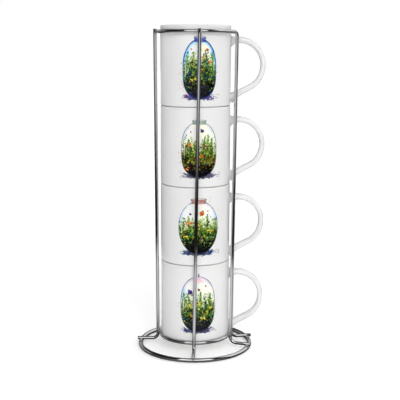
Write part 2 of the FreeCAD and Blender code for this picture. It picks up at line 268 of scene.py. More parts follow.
def wire_mesh(points, radius, closed, joint_at):
    """Vertices and faces of a round wire, whose cut ends are chamfered and closed.

    joint_at is the index of the point where a closed ring's ends are butt-welded and dressed:
    the wire is a little thicker there, on its upper and inner side.
    """
    count = len(points)
    across = UP.cross(points[1] - points[0])
    stations = []
    for index, point in enumerate(points):
        before = points[index - 1] if closed or index else point
        after = points[(index + 1) % count] if closed or index < count - 1 else point
        tangent = (after - before).normalized()
        across = (across - tangent * across.dot(tangent)).normalized()
        stations.append((point, tangent, across, radius))
    if not closed:
        for end, inward in ((0, 1), (-1, -1)):
            point, tangent, side, size = stations[end]
            cut = [(point + tangent * inward * inset, tangent, side, size - thinner)
                   for inset, thinner in CUT_PROFILE]
            stations = stations[:-1] + cut if end else cut[::-1] + stations[1:]
    vertices = []
    for point, tangent, side, size in stations:
        other = tangent.cross(side)
        inward = -level_part(point).normalized()
        joint = 0.0
        if joint_at is not None:
            joint = JOINT_SWELL * exp(-((point - points[joint_at]).length / JOINT_LONG) ** 2)
        for corner in range(WIRE_SIDES):
            angle = FULL_TURN * corner / WIRE_SIDES
            outward = side * cos(angle) + other * sin(angle)
            swell = joint * max(0.0, outward.dot(inward) + outward.z)
            vertices.append(point + outward * (size + swell))
    if closed:
        return vertices, loft(WIRE_SIDES, count, closed=True)
    hub = len(vertices)
    return vertices + [points[0], points[-1]], tube(WIRE_SIDES, len(stations), hub, hub + 1)


WELD_HAZE = 4.5 * MM  # how far from a weld the plate gets duller


def wire_piece(node, points, radius, closed=False, joint_at=None):
    vertices, faces = wire_mesh(points, radius, closed, joint_at)
    piece = new_piece(node + "_wire", vertices, faces, "rack", "chromed_wire", node)
    places = np.array([tuple(vertex) for vertex in vertices])
    distances = [np.linalg.norm(places - np.array(spot), axis=1) for spot in weld_spots]
    point_attribute(piece, "near_weld", np.exp(-((np.min(distances, axis=0) / WELD_HAZE) ** 2)))
    return piece


# --- The wire rack ---

plain_lines = {node: leg_line(node) for node in ("rear_upright", "left_upright", "front_upright")}
rear_post = leg_line("gate_hoop", 1)
front_post = leg_line("gate_hoop", -1)


def ring_point(towards, radius, level):
    return level_part(towards).normalized() * radius + UP * level


def contact(first, first_radius, second, second_radius):
    """The middle of the overlap where two pressed wires touch, and the direction across it."""
    across = second - first
    normal = across.normalized()
    return first + normal * ((first_radius + across.length - second_radius) / 2), normal


def weld_contacts():
    """Where the wires are welded: for each CAD node, the contacts and the two wires' directions."""
    found = {"hoop_welds": [], "seat_welds": [], "foot_welds": []}
    for line in [*plain_lines.values(), rear_post, front_post]:
        along = (line(HOOP_LEVEL) - line(FOOT_LEVEL)).normalized()
        low = line(SEAT_LEVEL)
        around = UP.cross(level_part(low).normalized())
        seat = ring_point(low, SEAT_RADIUS, SEAT_LEVEL)
        found["seat_welds"].append((*contact(seat, WIRE, low, WIRE), around, along))
        heel = level_part(line(FOOT_LEVEL)).normalized()
        base = ring_point(heel, BASE_RADIUS, BASE_WIRE)
        foot = ring_point(heel, BASE_RADIUS, FOOT_LEVEL)
        found["foot_welds"].append((*contact(base, BASE_WIRE, foot, WIRE), heel, UP.cross(heel)))
    for line in plain_lines.values():
        high = line(HOOP_LEVEL)
        hoop = ring_point(high, HOOP_RADIUS, HOOP_LEVEL)
        along = (high - line(FOOT_LEVEL)).normalized()
        around = UP.cross(level_part(high).normalized())
        found["hoop_welds"].append((*contact(hoop, WIRE, high, WIRE), around, along))
    return found


welds = weld_contacts()
weld_spots = [weld[0] for group in welds.values() for weld in group]

NUGGET_REACH = 2.0 * MM
NUGGET_CORNER = 0.75 * MM  # how much further it runs into the corners between the wires
NUGGET_THICK = 1.35 * MM
NUGGET_SIDES = 32
NUGGET_STACKS = 14


def nugget(centre, normal, first, second, random):
    """A pool of fused metal that fills the four corners between two crossed wires."""
    bumps = random.uniform(-1, 1, (4, 3))
    vertices = []
    for stack in range(1, NUGGET_STACKS):
        tilt = pi * (stack / NUGGET_STACKS - 0.5)
        for step in range(NUGGET_SIDES):
            turn = FULL_TURN * step / NUGGET_SIDES
            lump = 0.0
            for waves, (size, phase, lean) in enumerate(bumps, start=1):
                lump += size * sin(waves * turn + 3 * phase) * cos(tilt + lean)
            corner = (1 - cos(4 * turn)) / 2
            reach = (NUGGET_REACH + NUGGET_CORNER * corner) * (1 + 0.045 * lump)
            flat = first * cos(turn) + second * sin(turn)
            high = NUGGET_THICK * (1 + 0.04 * lump) * sin(tilt)
            vertices.append(centre + flat * (reach * cos(tilt)) + normal * high)
    hub = len(vertices)
    vertices += [centre - normal * NUGGET_THICK, centre + normal * NUGGET_THICK]
    return vertices, tube(NUGGET_SIDES, NUGGET_STACKS - 1, hub, hub + 1)


def weld_piece(node, seed):
    random = np.random.default_rng(seed)
    vertices, faces = [], []
    for centre, normal, first, second in welds[node]:
        across = (second - normal * second.dot(normal)).normalized()
        along = (first - normal * first.dot(normal)).normalized()
        points, sides = nugget(centre, normal, along, across, random)
        faces += [tuple(index + len(vertices) for index in face) for face in sides]
        vertices += points
    piece = new_piece(node + "_fused", vertices, faces, "rack", "chromed_wire", node)
    point_attribute(piece, "near_weld", [1.0] * len(vertices))
    return piece


def gate_hoop_points():
    """The one wire: foot, rear gate post, hoop round the mugs' rim, front gate post and foot."""
    legs = []
    for line, turn in ((rear_post, 1), (front_post, -1)):
        ankle, shoulder = line(FOOT_LEVEL), line(HOOP_LEVEL)
        off = acos(HOOP_RADIUS / level_part(shoulder).length)
        tangent = atan2(shoulder.y, shoulder.x) + turn * off
        touch = Vector((HOOP_RADIUS * cos(tangent), HOOP_RADIUS * sin(tangent), HOOP_LEVEL))
        corners = [foot_tip("gate_hoop", ankle), ankle, shoulder, touch]
        legs.append((bent_wire(corners, [FOOT_BEND, GATE_BEND]), tangent))
    (rear, rear_tangent), (front, front_tangent) = legs
    turn = FULL_TURN - (rear_tangent - front_tangent)
    round_back = level_arc(HOOP_RADIUS, HOOP_LEVEL, rear_tangent, turn, 110)
    return rear + round_back[1:-1] + front[::-1]


JOINT_STEP = 52  # of 180 round a ring: its butt joint is at the back, a little to one side

wire_pieces = []
for node, line in plain_lines.items():
    ankle = line(FOOT_LEVEL)
    top = line(tenth(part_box(node)[1].z))
    wire_pieces.append(wire_piece(node, bent_wire([foot_tip(node, ankle), ankle, top], [FOOT_BEND]), WIRE))
wire_pieces.append(wire_piece("gate_hoop", gate_hoop_points(), WIRE))
for node, radius, level, thick in (
    ("base_ring", BASE_RADIUS, BASE_WIRE, BASE_WIRE),
    ("seat_ring", SEAT_RADIUS, SEAT_LEVEL, WIRE),
):
    ring = level_arc(radius, level, 0.0, FULL_TURN, 180)[:-1]
    wire_pieces.append(wire_piece(node, ring, thick, closed=True, joint_at=JOINT_STEP))
weld_pieces = [weld_piece(node, 40 + index) for index, node in enumerate(welds)]

# --- Mug bodies and handles ---

MUG_SEGMENTS = 160
BARE_FOOT = 0.45 * MM  # the foot ring's underside, up to here, has no glaze
SEAM_SHADE_REACH = 2.2 * MM  # painted shade: how far up from the shoulder's lower edge the glaze colour is darkened, in the seam's groove


def mug_level(mug):
    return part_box(mug + "_body")[0].z


def mug_yaw(mug):
    """The direction of a mug's handle, from the middle of its CAD node."""
    low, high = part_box(mug + "_handle")
    return atan2(low.y + high.y, low.x + high.x + MUG_RADIUS)


def quarter(centre, radius, start, end, steps):
    """Points (distance, height) on an arc from one angle to another, in degrees."""
    out, up = centre
    angles = [radians(start + (end - start) * step / steps) for step in range(steps + 1)]
    return [(out + radius * cos(a), up + radius * sin(a)) for a in angles]


def run(start, end, steps):
    """Points strictly between two profile points."""
    shares = [(step + 1) / (steps + 1) for step in range(steps)]
    return [(start[0] + (end[0] - start[0]) * s, start[1] + (end[1] - start[1]) * s) for s in shares]


def mug_profile():
    """Half a mug's outline from the middle of its underside round to the middle of its floor."""
    bore = MUG_RADIUS - WALL
    foot = [(0.0, RECESS)] + run((0.0, RECESS), (FOOT_INNER, RECESS), 7)
    foot += quarter((FOOT_INNER - RECESS_ROUND, RECESS - RECESS_ROUND), RECESS_ROUND, 90, 0, 4)
    foot += quarter((FOOT_INNER + FOOT_ROUND, FOOT_ROUND), FOOT_ROUND, 180, 270, 6)
    foot += quarter((FOOT_OUTER - FOOT_ROUND, FOOT_ROUND), FOOT_ROUND, 270, 360, 6)
    foot += quarter((FOOT_OUTER + FOOT_ROUND, FOOT_TALL - FOOT_ROUND), FOOT_ROUND, 180, 90, 5)
    shoulder_up = FOOT_TALL + SHOULDER_ROUND
    outside = quarter((MUG_RADIUS - SHOULDER_ROUND, shoulder_up), SHOULDER_ROUND, 270, 360, 10)
    rim_up = MUG_TALL - RIM_ROUND - RIM_CROWN
    outside += run((MUG_RADIUS, shoulder_up), (MUG_RADIUS, rim_up), 10)
    rim = quarter((MUG_RADIUS - RIM_ROUND, rim_up), RIM_ROUND, 0, 90, 7)
    rim += [(MUG_RADIUS - WALL / 2, MUG_TALL)]
    rim += quarter((bore + RIM_ROUND, rim_up), RIM_ROUND, 90, 180, 7)
    low = FLOOR_LEVEL + FLOOR_ROUND
    inside = run((bore, rim_up), (bore, low), 9)
    inside += quarter((bore - FLOOR_ROUND, low), FLOOR_ROUND, 0, -90, 12)
    inside += run((bore - FLOOR_ROUND, FLOOR_LEVEL), (0.0, FLOOR_LEVEL), 6)
    return foot + outside + rim + inside + [(0.0, FLOOR_LEVEL)]


def mug_shell(mug):
    """The thrown body, turned round its axis. Only the foot ring's underside has no glaze."""
    level = mug_level(mug)
    profile = mug_profile()
    vertices = [Vector((0, 0, level + profile[0][1]))]
    for out, up in profile[1:-1]:
        vertices += level_arc(out, level + up, 0.0, FULL_TURN, MUG_SEGMENTS)[:-1]
    vertices.append(Vector((0, 0, level + profile[-1][1])))
    faces = tube(MUG_SEGMENTS, len(profile) - 2, 0, len(vertices) - 1, first=1)
    piece = new_piece(mug + "_shell", vertices, faces, mug, "glazed_mug", mug + "_body")
    point_attribute(piece, "bare", [float(v.z - level < BARE_FOOT) for v in vertices])
    # Painted shade: the glaze colour is darkened just above the shoulder's lower edge, in the seam's
    # groove.
    above = [v.z - level - FOOT_TALL if v.xy.length > FOOT_OUTER else MUG_TALL for v in vertices]
    point_attribute(piece, "painted_shade", [max(0.0, 1 - abs(height) / SEAM_SHADE_REACH) for height in above])
    return piece


BOW_STEPS = 46
ROOT_STEPS = 6
LEG_STEPS = 10


def handle_path():
    """Stations of the bow: place (out, up) and direction outwards from the bow."""
    top = BOW_UP + BOW_RADIUS
    reach = (BOW_OUT - HANDLE_ROOT) / ROOT_STEPS
    stations = [((HANDLE_ROOT + reach * step, top), (0.0, 1.0)) for step in range(ROOT_STEPS)]
    for step in range(BOW_STEPS + 1):
        share = step / BOW_STEPS
        angle = pi / 2 + (BOW_SLOPE - pi) * share
        radius = BOW_RADIUS + BOW_SAG * float(smooth(0.55, 1.0, share))
        across, upward = cos(angle), sin(angle)
        stations.append(((BOW_OUT + radius * across, BOW_UP + radius * upward), (across, upward)))
    (out, up), outward = stations[-1]
    length = (HANDLE_ROOT - out) / outward[1]
    for step in range(1, LEG_STEPS + 1):
        travelled = length * step / LEG_STEPS
        stations.append(((out + outward[1] * travelled, up - outward[0] * travelled), outward))
    return stations


HANDLE_SIDES = 36
ROOT_FADE = 3.0 * MM
ROOT_SHADE = 0.75  # how dark the painted shade at a handle root is, against 1 at the shoulder's edge
# How much a root swells at the wall: above its outer face, below its inner face, and to each side
UPPER_ROOT = (1.0 * MM, 4.6 * MM, 1.5 * MM)
LOWER_ROOT = (3.6 * MM, 1.6 * MM, 1.5 * MM)


def handle_grip(mug):
    """The pulled handle, slimmer at its far side, with both roots smeared onto the wall."""
    level, yaw = mug_level(mug), mug_yaw(mug)
    outwards = Vector((cos(yaw), sin(yaw), 0))
    sideways = UP.cross(outwards)
    stations = handle_path()
    vertices, painted_shade = [], []
    for index, ((out, up), (normal_out, normal_up)) in enumerate(stations):
        share = index / (len(stations) - 1)
        fullness = abs(2 * share - 1) ** 1.6
        swell = exp(-max(0.0, out - MUG_RADIUS) / ROOT_FADE)
        root = UPPER_ROOT if share < 0.5 else LOWER_ROOT
        outer = HANDLE_OUTER + root[0] * swell
        inner = HANDLE_SLIM + (HANDLE_FULL - HANDLE_SLIM) * fullness + root[1] * swell
        half_wide = HANDLE_WIDE / 2 * (0.96 + 0.06 * fullness) + root[2] * swell
        for side in range(HANDLE_SIDES):
            angle = FULL_TURN * side / HANDLE_SIDES
            c, s = cos(angle), sin(angle)
            wide = half_wide * copysign(abs(c) ** 0.86, c)
            deep = copysign(abs(s) ** 0.9, s) * (outer if s > 0 else inner)
            height = level + up + normal_up * deep
            vertices.append(outwards * (out + normal_out * deep) + sideways * wide + UP * height)
        # Painted shade at the roots, where the handle meets the wall.
        painted_shade += [ROOT_SHADE * swell] * HANDLE_SIDES
    hub = len(vertices)
    for ring in (vertices[:HANDLE_SIDES], vertices[-HANDLE_SIDES:]):
        vertices.append(sum(ring, Vector()) / HANDLE_SIDES)
    faces = tube(HANDLE_SIDES, len(stations), hub, hub + 1)
    piece = new_piece(mug + "_grip", vertices, faces, mug, "glazed_mug", mug + "_handle")
    point_attribute(piece, "painted_shade", painted_shade + [ROOT_SHADE] * 2)
    return piece


shells = [mug_shell(mug) for mug in MUGS]
grips = [handle_grip(mug) for mug in MUGS]

# --- Printed pictures: jars planted as little gardens, in watercolour ---

PRINT_WIDE = 52.0  # millimetres here, across and above the shoulder
PRINT_LOW = 7.0
PRINT_HIGH = 84.0
PRINT_CELL = 0.22
BRUSH_EDGE = 0.14
CONTRAST = 1.12


def mixed(first, second, share):
    """A colour between two; a picture of shares gives a picture of colours."""
    share = np.asarray(share)[..., None]
    return np.array(first) * (1 - share) + np.array(second) * share


def towards(heading):
    return np.array([cos(radians(heading)), sin(radians(heading))])


MARK_STEPS = 8
MARK_SHARES = np.linspace(0, 1, MARK_STEPS + 1)


def sweep(place, heading, length, bend, steps=MARK_STEPS):
    """Points of a mark that starts at a place and curves as it goes; angles in degrees."""
    points = [np.asarray(place, float)]
    for step in range(steps):
        points.append(points[-1] + towards(heading + bend * (step + 0.5) / steps) * length / steps)
    return points


class Picture:
    """Ink on a grid. Colours are sRGB from 0 to 1, and are held already multiplied by the ink."""

    def __init__(self, seed):
        self.random = np.random.default_rng(seed)
        columns = round(PRINT_WIDE / PRINT_CELL) + 1
        rows = round((PRINT_HIGH - PRINT_LOW) / PRINT_CELL) + 1
        across = np.linspace(-PRINT_WIDE / 2, PRINT_WIDE / 2, columns)
        upward = np.linspace(PRINT_LOW, PRINT_HIGH, rows)
        self.u, self.v = np.meshgrid(across, upward)
        self.paint = np.zeros(self.u.shape + (3,))
        self.ink = np.zeros(self.u.shape)

    def window(self, low, high):
        """The part of the grid that holds a rectangle."""
        corner = np.array([-PRINT_WIDE / 2, PRINT_LOW])
        first = np.maximum((low - corner) / PRINT_CELL - 1, 0).astype(int)
        last = np.maximum((high - corner) / PRINT_CELL + 2, 0).astype(int)
        return slice(first[1], last[1]), slice(first[0], last[0])

    def lay(self, cover, colour, where=...):
        """Lays a colour, or a picture of colours, over what is there."""
        cover = np.clip(cover, 0, 1)
        keep = 1 - cover
        self.paint[where] = self.paint[where] * keep[..., None] + np.asarray(colour) * cover[..., None]
        self.ink[where] = self.ink[where] * keep + cover

    def noise(self, size):
        """A smooth random field between 0 and 1 with lumps of this size."""
        u = (self.u + PRINT_WIDE / 2) / size
        v = (self.v - PRINT_LOW) / size
        lattice = self.random.random((int(v.max()) + 3, int(u.max()) + 3))
        column, row = u.astype(int), v.astype(int)
        fu = smooth(0, 1, u - column)
        fv = smooth(0, 1, v - row)
        low = lattice[row, column] * (1 - fu) + lattice[row, column + 1] * fu
        high = lattice[row + 1, column] * (1 - fu) + lattice[row + 1, column + 1] * fu
        return low * (1 - fv) + high * fv

    def cloud(self, size):
        return 0.55 * self.noise(size) + 0.3 * self.noise(size / 2) + 0.15 * self.noise(size / 4)

    def stroke(self, points, radii, colour, strength=1.0, clip=None):
        """A brush mark along a line of points, with a radius at each."""
        points, radii = np.asarray(points, float), np.asarray(radii, float)
        reach = radii.max() + BRUSH_EDGE
        where = self.window(points.min(0) - reach, points.max(0) + reach)
        u, v = self.u[where], self.v[where]
        if not u.size:
            return
        cover = np.zeros(u.shape)
        for start, end, start_radius, end_radius in zip(points, points[1:], radii, radii[1:]):
            along = end - start
            length = max(along @ along, 1e-9)
            share = np.clip(((u - start[0]) * along[0] + (v - start[1]) * along[1]) / length, 0, 1)
            apart = np.hypot(u - start[0] - share * along[0], v - start[1] - share * along[1])
            edge = apart - start_radius - (end_radius - start_radius) * share
            cover = np.maximum(cover, smooth(BRUSH_EDGE, -BRUSH_EDGE, edge))
        if clip is not None:
            cover = cover * clip[where]
        self.lay(cover * strength, colour, where)

    def spot(self, place, radius, colour, strength):
        self.stroke([place, place], [radius, radius], colour, strength)

    def leaf(self, place, heading, length, width, colour, clip=None, bend=0.0, strength=0.95):
        radii = width / 2 * np.sin(pi * np.clip(MARK_SHARES ** 0.8, 0.02, 0.985))
        self.stroke(sweep(place, heading, length, bend), radii, colour, strength, clip)

    def blade(self, place, heading, length, width, colour, clip=None, bend=0.0, strength=0.9):
        radii = width / 2 * (1 - MARK_SHARES) ** 0.7 + 0.03
        self.stroke(sweep(place, heading, length, bend), radii, colour, strength, clip)

    def butterfly(self, place, size, colour, heading, spread):
        """Two pairs of wings seen from the side and above, with a dark edge and a body."""
        dark = mixed(colour, NIGHT, 0.55)
        for side, near in ((-1, 0.72), (1, 1.0)):
            for turn, length, width in ((38, 0.62, 0.4), (112, 0.4, 0.34)):
                angle = heading + side * turn * spread
                long, wide = size * length * near, size * width * near
                self.leaf(place, angle, long, wide, dark)
                self.leaf(place + 0.06 * size * towards(angle), angle, 0.78 * long, 0.66 * wide, colour)
        self.blade(place - 0.2 * size * towards(heading), heading, size * 0.5, size * 0.11, dark)


def jar_half_width(jar, v):
    """Half the jar's width at a height: two bulging curves that meet at its widest level."""
    above = np.clip((v - jar.middle) / (jar.high - jar.middle), 0, 1)
    below = np.clip((jar.middle - v) / (jar.middle - jar.low), 0, 1)
    bulge = np.where(v > jar.middle, 1 - above ** jar.high_power, 1 - below ** jar.low_power)
    return jar.wide * np.sqrt(np.clip(bulge, 0, 1))


def jar_depth(jar, art):
    """Roughly how far each point is inside the jar's outline, in millimetres; negative outside."""
    half = jar_half_width(jar, art.v)
    slope = np.gradient(half, PRINT_CELL, axis=0)
    sideways = (half - np.abs(art.u)) / np.sqrt(1 + np.clip(slope, -6, 6) ** 2)
    ends = np.minimum(jar.high - art.v, art.v - jar.low)
    return np.minimum(sideways, ends)


def scattered(random, count):
    """Places across the jar from -1 to 1, one at random in each of so many equal strips."""
    strips = random.permutation(count)
    return 2 * (strips + random.uniform(0.15, 0.85, count)) / count - 1


def chosen(random, colours):
    return colours[random.integers(len(colours))]


def paint_ground(art, jar):
    """The splash of shadow that the jar stands in, darkest under it, with drops at its ends."""
    random = art.random
    level = jar.low + 2.2
    wobble = 1 + 0.7 * (art.cloud(5.0) - 0.5)
    across = art.u / (jar.splash * wobble)
    apart = np.hypot(across, (art.v - level) / (3.8 * wobble))
    fade = 0.35 + 0.65 * smooth(1.05, 0.7, np.abs(across))
    ragged = smooth(1.08, 0.80, apart + 0.5 * (art.noise(1.4) - 0.5))
    paleness = np.clip(0.75 * np.abs(across) ** 2 + 0.6 * art.cloud(3.0) - 0.25, 0, 1)
    cover = ragged * fade * (0.88 + 0.12 * art.noise(3.0))
    art.lay(cover, mixed(*jar.splash_colour, paleness))
    for _ in range(46):
        u = random.choice((-1, 1)) * random.uniform(0.62, 1.14) * jar.splash
        tint = mixed(*jar.splash_colour, random.uniform(0, 1))
        place = (u, level + random.normal(0, 1.9))
        art.leaf(place, random.uniform(-25, 25), random.uniform(0.8, 3.6), random.uniform(0.3, 0.9),
                 tint, strength=random.uniform(0.3, 0.9))


def paint_specks(art, jar):
    """Small flecks flicked from the brush beside the jar."""
    random = art.random
    for _ in range(jar.specks):
        side = jar.speck_side * (1 if random.random() < 0.85 else -1)
        v = jar.speck_level + random.normal(0, 12)
        edge = float(jar_half_width(jar, np.clip(v, jar.low + 5, jar.high - 4)))
        u = side * (edge + random.gamma(1.3, 1.5) + 0.4)
        if jar.low - 1 < v < PRINT_HIGH - 2 and abs(u) < PRINT_WIDE / 2 - 1:
            colour = chosen(random, jar.speck_colours)
            art.spot((u, v), random.uniform(0.2, 0.6), colour, random.uniform(0.45, 0.9))


def paint_air(art, jar, inside):
    """Pale washes of sky and light behind the plants, along the glass and under its top."""
    art.lay(inside * 0.35, (0.97, 0.97, 0.94))
    left, right, top = jar.air
    wide, level = jar.wide, jar.plants + 3
    for colour, middle, height, reach, tall in (
        (left, -0.85 * wide, level, 6, 14),
        (right, 0.85 * wide, level, 6, 14),
        (top, 0, jar.high - 4, 11, 5),
        (CREAM, 0.2 * wide, level + 4, 8, 9),
    ):
        apart = np.hypot((art.u - middle) / reach, (art.v - height) / tall)
        cover = smooth(1.15, 0.0, apart + 0.7 * (art.cloud(6.0) - 0.5))
        art.lay(inside * cover * jar.air_strength, colour)


def flecks(art, jar, count, low, high, gather, sizes, palette, clip, upright=0.0):
    """Many small leaf-shaped marks, gathered towards the lower level."""
    random = art.random
    for _ in range(count):
        v = low + (high - low) * random.uniform(0, 1) ** gather
        u = random.uniform(-0.97, 0.97) * jar.wide
        length = random.uniform(*sizes)
        heading = random.uniform(0, 180) * (1 - upright) + 90 * upright
        colour = mixed(chosen(random, palette), jar.tint, random.uniform(0, 0.3))
        art.leaf((u, v), heading, length, length * random.uniform(0.32, 0.55), colour, clip,
                 bend=random.uniform(-50, 50), strength=random.uniform(0.7, 1.0))


def frond(art, u, root, tip, spread, colour, clip):
    """A tall plant: a stem with pairs of leaves that get shorter towards the tip."""
    random = art.random
    stem = sweep((u, root), 90 + random.normal(0, 3), tip - root, random.normal(0, 8), steps=16)
    art.stroke(stem, np.linspace(0.35, 0.12, len(stem)), mixed(colour, MOSS, 0.5), 0.8, clip)
    for index, place in enumerate(stem[2:], start=2):
        reach = spread * (1.08 - index / len(stem)) ** 0.7
        for side in (-1, 1):
            shade = mixed(colour, chosen(random, (PINE, LIME)), random.uniform(0, 0.55))
            heading = 90 - side * random.uniform(32, 66)
            art.leaf(place, heading, reach * random.uniform(0.7, 1.2), random.uniform(0.9, 1.9),
                     shade, clip, bend=side * random.uniform(-10, 40), strength=0.85)


def paint_plants(art, jar, inside):
    """From back to front: haze, thin blades, tall fronds and a thicket that gets darker downwards."""
    random = art.random
    soil, tops = jar.soil, jar.plants
    haze = smooth(tops + 7, soil + 4, art.v + 12 * (art.cloud(6.0) - 0.5))
    cover = haze * 0.85 * (0.5 + 0.7 * art.noise(2.0))
    art.lay(inside * cover, mixed(*jar.haze, art.cloud(3.0)))
    for layer, palette in enumerate(((LIME, FRESH, LIME), (FRESH, LEAF, OLIVE), (LEAF, MOSS, PINE))):
        for _ in range(jar.blades):
            u = random.uniform(-0.95, 0.95) * jar.wide
            tip = tops + random.uniform(-9, 6) - 7 * layer
            root = soil + random.uniform(-2, 8)
            colour = mixed(chosen(random, palette), jar.tint, random.uniform(0, 0.4))
            heading = 90 - u * 0.6 + random.normal(0, 10)
            art.blade((u, root), heading, tip - root, random.uniform(0.8, 1.9), colour, inside,
                      bend=random.normal(0, 22), strength=0.85)
    for place in scattered(random, 6):
        tip = tops + random.uniform(-6, 10) * (1 - 0.5 * abs(place))
        colour = chosen(random, (LEAF, FRESH, OLIVE, PINE))
        frond(art, place * 0.85 * jar.wide, soil + 5, tip, random.uniform(3.0, 4.8), colour, inside)
    gaps = smooth(0.43, 0.57, art.cloud(3.2)) * smooth(tops - 4, soil + 4, art.v)
    art.lay(inside * gaps * 0.95, mixed(NIGHT, MOSS, art.noise(1.5) ** 1.5))
    light = (FRESH, LEAF, LIME, OLIVE, MOSS)
    flecks(art, jar, 170, soil + 4, tops + 3, 1.2, (1.4, 3.6), light, inside, upright=0.3)
    flecks(art, jar, 300, soil - 5, tops - 5, 1.2, (1.2, 3.0), jar.thicket, inside)


def paint_soil(art, jar, inside):
    """Dark wet earth with roots and light leaves that hang over it."""
    soil, low = jar.soil, jar.low
    top = soil + 7.0 * (art.cloud(4.0) - 0.45) + 3.0 * (art.noise(1.3) - 0.5)
    cover = smooth(2.2, -2.2, art.v - top)
    art.lay(inside * cover * 0.94, mixed(NIGHT, jar.soil_colour, art.cloud(2.2) ** 1.8))
    flecks(art, jar, 240, low + 5, soil + 9, 0.7, (1.2, 3.2), jar.undergrowth, inside)
    deep = smooth(low + 12, low + 3, art.v)
    streaks = mixed(NIGHT, jar.base_tint, art.cloud(2.5) ** 1.3)
    art.lay(inside * deep * (0.6 + 0.4 * art.noise(2.0)), streaks)
    dark = (jar.base_tint, NIGHT, NIGHT)
    flecks(art, jar, 40, low + 1, soil - 6, 1.0, (1.2, 3.4), dark, inside)


def paint_flowers(art, jar, inside):
    """Blooms of loose petals among the plants, anywhere but at the glass."""
    random = art.random
    for place in scattered(random, 8):
        size = random.uniform(2.4, 5.0)
        u = place * 0.75 * jar.wide
        v = random.uniform(jar.soil - 3, jar.plants + 1) - 5 * abs(place)
        colour = chosen(random, jar.blooms)
        for _ in range(int(size * 2.4)):
            shift = random.normal(0, size * 0.26, 2)
            tint = mixed(colour, chosen(random, (LIME, EARTH, WHITE)), random.uniform(0, 0.35))
            art.leaf((u + shift[0], v + shift[1]), random.uniform(0, 360), random.uniform(1.2, 2.4),
                     random.uniform(0.8, 1.5), tint, inside)


def paint_butterflies(art, jar):
    """Butterflies over the plants, the first of them the largest."""
    random = art.random
    sizes = jar.butterflies
    for place, size in zip(scattered(random, len(sizes)), sizes):
        middle = np.array([place * 0.6 * jar.wide, random.uniform(jar.plants + 3, jar.high - 11)])
        colour = chosen(random, jar.wings)
        art.butterfly(middle, size, colour, random.uniform(40, 110), random.uniform(0.6, 1.0))


# Streaks of shine on the glass: side as a share of the half width, low and high end, width, strength
SHINES = ((-0.82, 0.36, 0.66, 0.40, 0.7), (-0.70, 0.42, 0.55, 0.22, 0.6), (0.84, 0.42, 0.68, 0.30, 0.55))


def paint_glass(art, jar, depth):
    """The jar's outline, the light along its inside and its streaks of shine."""
    along = art.cloud(7.0)
    upper = smooth(jar.soil + 4, jar.high - 14, art.v)
    glow = smooth(jar.glow_wide, 0.4, depth) * (depth > 0)
    art.lay(glow * (0.3 + 0.7 * along) * (0.25 + 0.75 * upper) * jar.glow_strength, jar.glow)
    inner = smooth(0.45, 0.1, np.abs(depth - 1.7 - 0.5 * along)) * upper
    art.lay(inner * 0.5 * along, jar.rim)
    line = jar.line * (0.5 + 1.0 * along)
    ring = smooth(line + BRUSH_EDGE, line - BRUSH_EDGE, np.abs(depth - 0.3))
    strength = jar.line_strength * (0.35 + 0.65 * upper) * smooth(0.15, 0.45, along + 0.2 * upper)
    art.lay(ring * strength, mixed(jar.rim, jar.rim_left, smooth(6, -6, art.u)))
    for side, low, high, width, strength in SHINES:
        levels = jar.low + (jar.high - jar.low) * np.linspace(low, high, 9)
        points = np.stack([side * jar_half_width(jar, levels), levels], axis=-1)
        art.stroke(points, width * np.sin(np.linspace(0.15, pi - 0.15, 9)), WHITE, strength)


def paint_neck(art, jar):
    """A knob on a closed dome, or a neck with a rolled lip."""
    dark, light = jar.neck
    if jar.knob:
        art.spot((0.6, jar.high + 0.9), 1.0, dark, 0.9)
        art.leaf((0.6, jar.high + 1.2), 95, 2.8, 1.4, light)
        return
    low, high, wide = jar.neck_low, jar.neck_high, jar.neck_wide
    share = np.clip((art.v - low) / (high - low), 0, 1)
    half = wide * (0.90 + 0.10 * smooth(0.35, 0.7, share) + 0.14 * smooth(0.3, 0.0, share))
    sagging = 0.9 * np.sqrt(np.clip(1 - (art.u / wide) ** 2, 0, 1))
    within = smooth(0.2, -0.2, np.abs(art.u) - half) * smooth(-0.2, 0.2, art.v - low + sagging)
    within = within * smooth(0.2, -0.2, art.v - high)
    shade = np.clip(0.15 + 0.85 * np.abs(art.u / wide) ** 3 + 0.7 * (art.noise(1.1) - 0.5), 0, 1)
    art.lay(within * jar.neck_cover, mixed(light, dark, shade))
    turns = np.linspace(0, pi, 15)
    for level, reach, swing, thick in (
        (high, wide, 1.0, 0.34),
        (high, wide, -1.0, 0.30),
        (low + 0.45 * (high - low), 0.93 * wide, -0.9, 0.26),
        (low, 0.93 * wide, -0.9, 0.24),
    ):
        line = np.stack([reach * np.cos(turns), level + swing * np.sin(turns)], axis=-1)
        art.stroke(line, thick * (0.6 + 0.4 * np.abs(np.cos(turns))), dark, 0.85)


def paint_picture(jar):
    art = Picture(jar.seed)
    depth = jar_depth(jar, art)
    inside = smooth(-0.1, 0.35, depth)
    paint_ground(art, jar)
    paint_specks(art, jar)
    paint_air(art, jar, inside)
    paint_plants(art, jar, inside)
    paint_soil(art, jar, inside)
    paint_flowers(art, jar, inside)
    paint_butterflies(art, jar)
    paint_glass(art, jar, depth)
    paint_neck(art, jar)
    grain = 1 + 0.12 * (art.noise(0.6) - 0.5) + 0.10 * (art.noise(1.7) - 0.5)
    colour = art.paint / np.maximum(art.ink, 1e-4)[..., None] * grain[..., None]
    return art, np.clip((colour - 0.5) * CONTRAST + 0.5, 0, 1)


